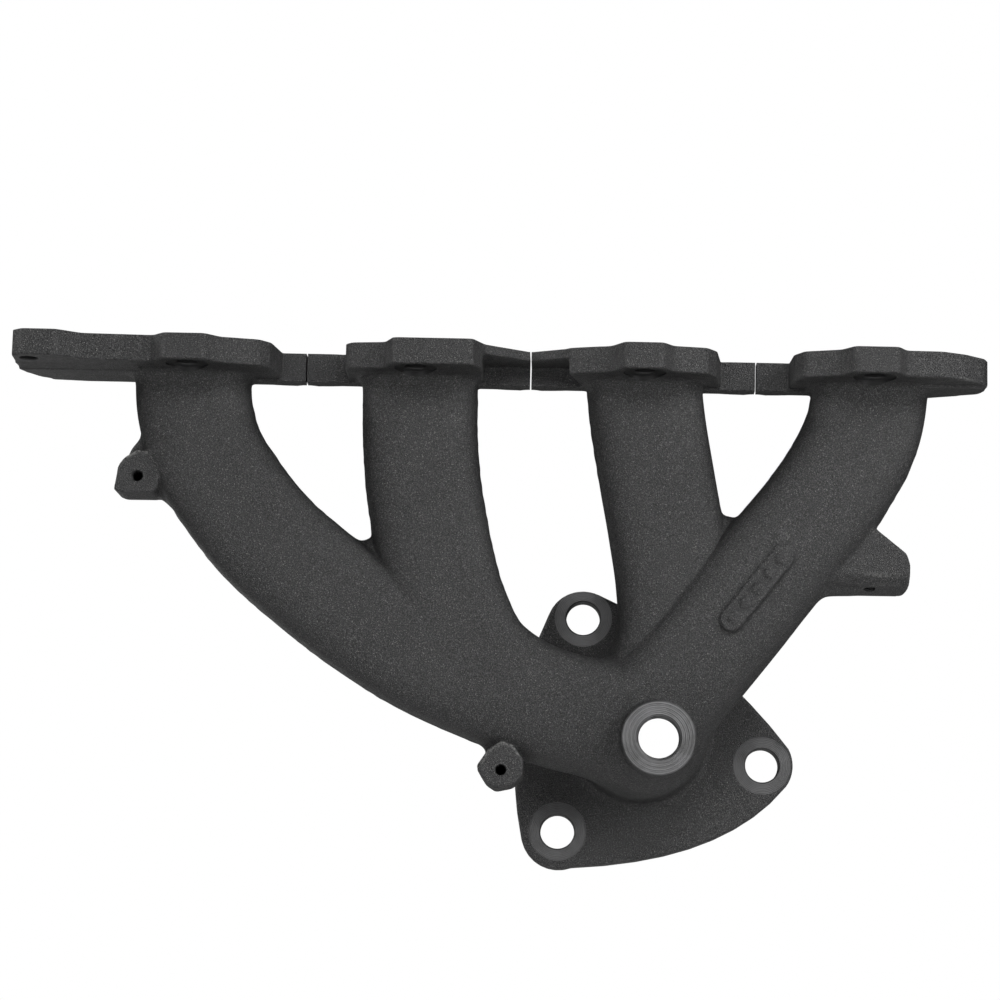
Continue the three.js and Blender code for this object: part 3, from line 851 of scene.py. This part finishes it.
def taps(sensor_finish, drilled):
    """The threads, and the saw's slits in the head flange."""
    face = SENSOR_FACE
    yield thread("m18", "Y", (SENSOR_X, SENSOR_Z), THREAD_R, THREAD_DEPTH, THREAD_PITCH,
                 face - 1.5, face + 9, sensor_finish, 72)
    for at in SHIELD_HOLES:
        yield thread("m6", "Y", at, TAP_R, TAP_DEPTH, TAP_PITCH, LUG_FRONT - 1, 2.5, drilled)
    yield thread("m6", "Z", BRACKET_HOLE, BRACKET_TAP_R, TAP_DEPTH, TAP_PITCH, -100.0, -87.5, drilled)
    saw = milled("sawn", "Z", 0.07)
    for x in SLITS:
        yield prism("saw", box(x - SLIT / 2, x + SLIT / 2, -20, 5), -45, 15, saw)


def machine(casting):
    sensor_finish = turned("turned_sensor_seat", (SENSOR_X, 0, SENSOR_Z), "Y", 0.75, 0.21)
    cut(casting, together("faces", mating_faces(sensor_finish)))
    drilled = turned("drilled", (0, 0, 0), "Z", 0.7, 0.06)
    cut(casting, together("drills", drills(drilled)))
    cut(casting, together("taps", taps(sensor_finish, drilled)))


# ---- sections ----
def plane_side(at, away, reach=70.0, depth=80.0):
    """A square block in XZ that starts at the point `at` and lies on the side that `away` points to."""
    n = np.array(away, float) / np.hypot(*away)
    t = np.array([-n[1], n[0]])
    at = np.array(at, float)
    return [tuple(at + s * reach * t + d * n) for s, d in ((-1, 0), (1, 0), (1, depth), (-1, depth))]


FLANGE_SEAM = -BAR_T - 0.8                   # just under the flange, across each runner's fillet
OUTLET_SEAM = OUTLET_FRONT - 1.0


def flange_tools():
    """Where each head flange segment lies."""
    ends = [-260.0, *SLITS, 260.0]
    for i in range(4):
        yield "head_flange_%d" % (i + 1), prism("tool", box(ends[i], ends[i + 1], FLANGE_SEAM, 20), -90, 90)


def body_tools():
    """Where every other section lies: what an earlier one takes is gone before a later one is cut."""
    far = 90.0
    yield "outlet_flange", prism("tool", box(-60, 160, -240, -60), OUTLET_SEAM, far)
    boss = [(SENSOR_R + 2.2, -far), (SENSOR_R + 2.2, -5.0)]
    yield "sensor_boss", lathe("tool", "Y", (SENSOR_X, SENSOR_Z), boss)
    yield "shield_boss_left", prism("tool", plane_side((-160.8, -52.8), (-0.92, -0.40), 30, 60), -far, far)
    yield "shield_boss_lower", prism("tool", plane_side((-9.9, -169.0), (-0.35, -0.94), 24, 40), -far, 30)
    yield "bracket_boss", prism("tool", plane_side((137.5, -86.3), (0.8, -0.6), 32, 60), -far, far)
    pad = capsule(MARK_X, MARK_Z, MARK_HALF, MARK_R + 1.7, MARK_ANGLE)
    yield "casting_mark", prism("tool", pad, -far, -16.2)
    for i, (at, along) in enumerate(RUNNER_ENDS):
        at, across = np.array(at), np.array((-along[1], along[0]))
        corners = [(PORTS[i] - RUNNER_SPREAD, FLANGE_SEAM), tuple(at - RUNNER_REACH[i][0] * across),
                   tuple(at + RUNNER_REACH[i][1] * across), (PORTS[i] + RUNNER_SPREAD, FLANGE_SEAM)]
        yield "runner_%d" % (i + 1), prism("tool", corners, -far, far)
    drum = [(COLLECTOR_R + 2.5, -far), (COLLECTOR_R + 2.5, 21), (70, 21), (70, far)]
    yield "collector", lathe("tool", "Y", (OUTLET_X, OUTLET_Z), drum)
    yield "branch_left", prism("tool", plane_side((OUTLET_X, OUTLET_Z), (-29, -17), 300, 400), -far, far)


def capsule(x, z, half_length, r, angle):
    """An outline with round ends, turned by `angle`."""
    c, s = math.cos(angle), math.sin(angle)
    right = arc(half_length, 0, r, -math.pi / 2, math.pi / 2, 13)
    left = arc(-half_length, 0, r, math.pi / 2, 3 * math.pi / 2, 13)
    return [(x + u * c - v * s, z + u * s + v * c) for u, v in right + left]


# ---- shading stored on the mesh ----
def places(mesh):
    co = np.zeros(len(mesh.vertices) * 3)
    mesh.vertices.foreach_get("co", co)
    return co.reshape(-1, 3) / MM


# Where the coat is knocked off the edges: x, y, z and reach.
WORN = ((-165, -13, -46, 7), (-157, -13, -51, 5), (-6, -13, -166, 7), (-14, -13, -169, 6),
        (150, -8, -91, 7), (131, -8, -84, 5), (27, -20, -166, 3), (186, -30, -6, 7))


def worn(places_mm):
    """1 in the middle of each place where the coat is knocked off the edges, and 0 elsewhere."""
    return np.maximum.reduce([np.clip(1.4 - np.linalg.norm(places_mm - spot[:3], axis=1) / spot[3], 0, 1)
                              for spot in WORN])


def bend(field, pitch):
    """How sharply the surface curves at each grid point: positive on edges, negative in fillets."""
    total = -6 * field
    for axis in range(3):
        total += np.roll(field, 1, axis) + np.roll(field, -1, axis)
    return total / pitch ** 2


def store(mesh, name, values):
    mesh.attributes.new(name, "FLOAT", "POINT").data.foreach_set("value", values.astype(np.float32))


def shade(mesh, g, field, hollow, curve):
    """Cast faces take the field's slope as their normal, so a seam between two sections can't be seen."""
    at = g.cells(places(mesh))
    _, slope = sample(field, at, g.pitch)
    slope /= np.maximum(np.linalg.norm(slope, axis=1), 1e-6)[:, None]
    curvature, _ = sample(curve, at, g.pitch)
    inner, _ = sample(hollow, at, g.pitch)
    edge = np.clip((curvature - 0.22) / 0.5, 0, 1)
    store(mesh, "edge", edge)
    store(mesh, "worn", edge * worn(places(mesh)))
    # the hollow attribute is 1 in concave places and drives the painted shade in the iron's colour
    store(mesh, "hollow", np.clip((-curvature - 0.06) / 0.3, 0, 1))
    store(mesh, "bore", np.clip(1.5 - np.abs(inner), 0, 1))
    mesh.polygons.foreach_set("use_smooth", np.ones(len(mesh.polygons), bool))
    mesh.set_sharp_from_angle(angle=math.radians(32))
    normals = np.zeros(len(mesh.loops) * 3, np.float32)
    mesh.corner_normals.foreach_get("vector", normals)
    normals = normals.reshape(-1, 3)
    faces = len(mesh.polygons)
    material, count = np.zeros(faces, np.int32), np.zeros(faces, np.int32)
    mesh.polygons.foreach_get("material_index", material)
    mesh.polygons.foreach_get("loop_total", count)
    face_normal = np.zeros(faces * 3, np.float32)
    mesh.polygons.foreach_get("normal", face_normal)
    names = [m.name for m in mesh.materials]
    cast = np.array([name == "cast_iron" for name in names])[material]
    vertex = np.zeros(len(mesh.loops), np.int32)
    mesh.loops.foreach_get("vertex_index", vertex)
    agrees = (slope[vertex] * np.repeat(face_normal.reshape(-1, 3), count, 0)).sum(1) > 0.5
    use = np.repeat(cast, count) & agrees
    normals[use] = slope[vertex][use]
    mesh.normals_split_custom_set(normals.tolist())


# ---- the object ----
def cast(name, low, high, pitch, iron):
    """One block of the casting, machined, with what its shading is worked out from."""
    g = Grid(low, high, pitch)
    field, hollow = casting_field(g)
    points, faces = surface_net(field)
    points = g.low + settle(field, points, pitch) * pitch
    casting = body(name, points, faces.tolist(), iron)
    machine(casting)
    return casting, (g, field, hollow, bend(field, pitch))


def part(casting, tools, seam):
    """Takes each section out of a casting in turn, as a closed mesh."""
    for name, tool in tools:
        tool.data.materials.append(seam)
        yield name, combined(casting, "INTERSECT", tool)
        cut(casting, tool)


def show(name, mesh, iron, shading):
    for i, material in enumerate(mesh.materials):
        if material and material.name == "seam":
            mesh.materials[i] = iron
    shade(mesh, *shading)
    piece = bpy.data.objects.new("iron_" + name, mesh)
    bpy.context.collection.objects.link(piece)
    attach(piece, "root")
    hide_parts(name)


def build():
    iron, seam = cast_iron(), bpy.data.materials.new("seam")
    low = np.array(CAD_BOX[0]) / MM - MARGIN
    high = np.array(CAD_BOX[1]) / MM + MARGIN
    flange_high = (high[0], 28.0, high[2])
    casting, shading = cast("flange", (low[0], low[1], FLANGE_SEAM - 2.5), flange_high, FLANGE_PITCH, iron)
    for name, mesh in part(casting, flange_tools(), seam):
        show(name, mesh, iron, shading)
    discard(casting)
    casting, shading = cast("body", low, (high[0], high[1], FLANGE_SEAM + 4), BODY_PITCH, iron)
    cut(casting, prism("above", box(-260, 260, FLANGE_SEAM, 20), -90, 90, seam))
    for name, mesh in part(casting, body_tools(), seam):
        show(name, mesh, iron, shading)
    show("branch_right", casting.data.copy(), iron, shading)
    discard(casting)


build()


# ---- floor, light and camera ----
def plain(name, colour, roughness):
    material = bpy.data.materials.new(name)
    material.use_nodes = True
    shader = material.node_tree.nodes["Principled BSDF"]
    shader.inputs["Base Color"].default_value = (*colour, 1)
    shader.inputs["Roughness"].default_value = roughness
    return material


def lamp(name, at, power):
    """A square soft box that looks at the object's middle."""
    light = bpy.data.lights.new(name, "AREA")
    light.shape, light.size, light.energy = "SQUARE", LAMP_SIZE, power
    made = bpy.data.objects.new(name, light)
    made.location = at
    made.rotation_euler = (centre - at).to_track_quat("-Z", "Y").to_euler()
    bpy.context.collection.objects.link(made)


FLOOR_Z, FLOOR_REACH = -0.45, 9.0
LAMP_SIZE = 0.45
centre = (Vector(CAD_BOX[0]) + Vector(CAD_BOX[1])) / 2
reach = FLOOR_REACH / MM
floor = rings("floor", [[(x, y, z) for x, y in box(-reach, reach, -reach, reach)]
                        for z in (FLOOR_Z / MM - 20, FLOOR_Z / MM)], plain("floor", (0.8, 0.8, 0.8), 0.9))


def round_about(azimuth, elevation, distance=1.2):
    """A place round the object's middle. Azimuth 0 is in front of it and 90 to its right."""
    a, e = math.radians(azimuth), math.radians(elevation)
    away = Vector((math.sin(a) * math.cos(e), -math.cos(a) * math.cos(e), math.sin(e)))
    return centre + distance * away


lamp("key", round_about(5, 32), 4.7)
lamp("front_right", round_about(45, 8), 3.6)
lamp("front_left", round_about(-30, 5), 2.2)
lamp("left_top", round_about(-95, 32), 3.9)
lamp("right_top", round_about(65, 32), 4.2)
lamp("behind", round_about(-150, -8), 0.3)

world = bpy.data.worlds.new("studio")
world.use_nodes = True
sky, links = world.node_tree.nodes, world.node_tree.links
room, backdrop = sky["Background"], sky.new("ShaderNodeBackground")
room.inputs["Color"].default_value = (1, 1, 1, 1)
room.inputs["Strength"].default_value = 0.02
backdrop.inputs["Color"].default_value = (1, 1, 1, 1)
seen, choose = sky.new("ShaderNodeLightPath"), sky.new("ShaderNodeMixShader")
links.new(seen.outputs["Is Camera Ray"], choose.inputs["Fac"])
links.new(room.outputs[0], choose.inputs[1])
links.new(backdrop.outputs[0], choose.inputs[2])
links.new(choose.outputs[0], sky["World Output"].inputs["Surface"])
bpy.context.scene.world = world
bpy.context.scene.view_settings.view_transform = "Standard"

camera = bpy.data.cameras.new("camera")
camera.lens, camera.sensor_width = 107.64, 36.0
camera.clip_start, camera.clip_end = 0.05, 50.0
eye = bpy.data.objects.new("camera", camera)
forward, upward = Vector((-0.0235, 0.9863, 0.1634)).normalized(), Vector((-0.0212, -0.1639, 0.9862))
sideways = forward.cross(upward).normalized()
upward = sideways.cross(forward)
eye.matrix_world = Matrix.Translation((0.0180, -1.2536, -0.2692)) @ Matrix(
    (sideways, upward, -forward)).transposed().to_4x4()
bpy.context.collection.objects.link(eye)
bpy.context.scene.camera = eye
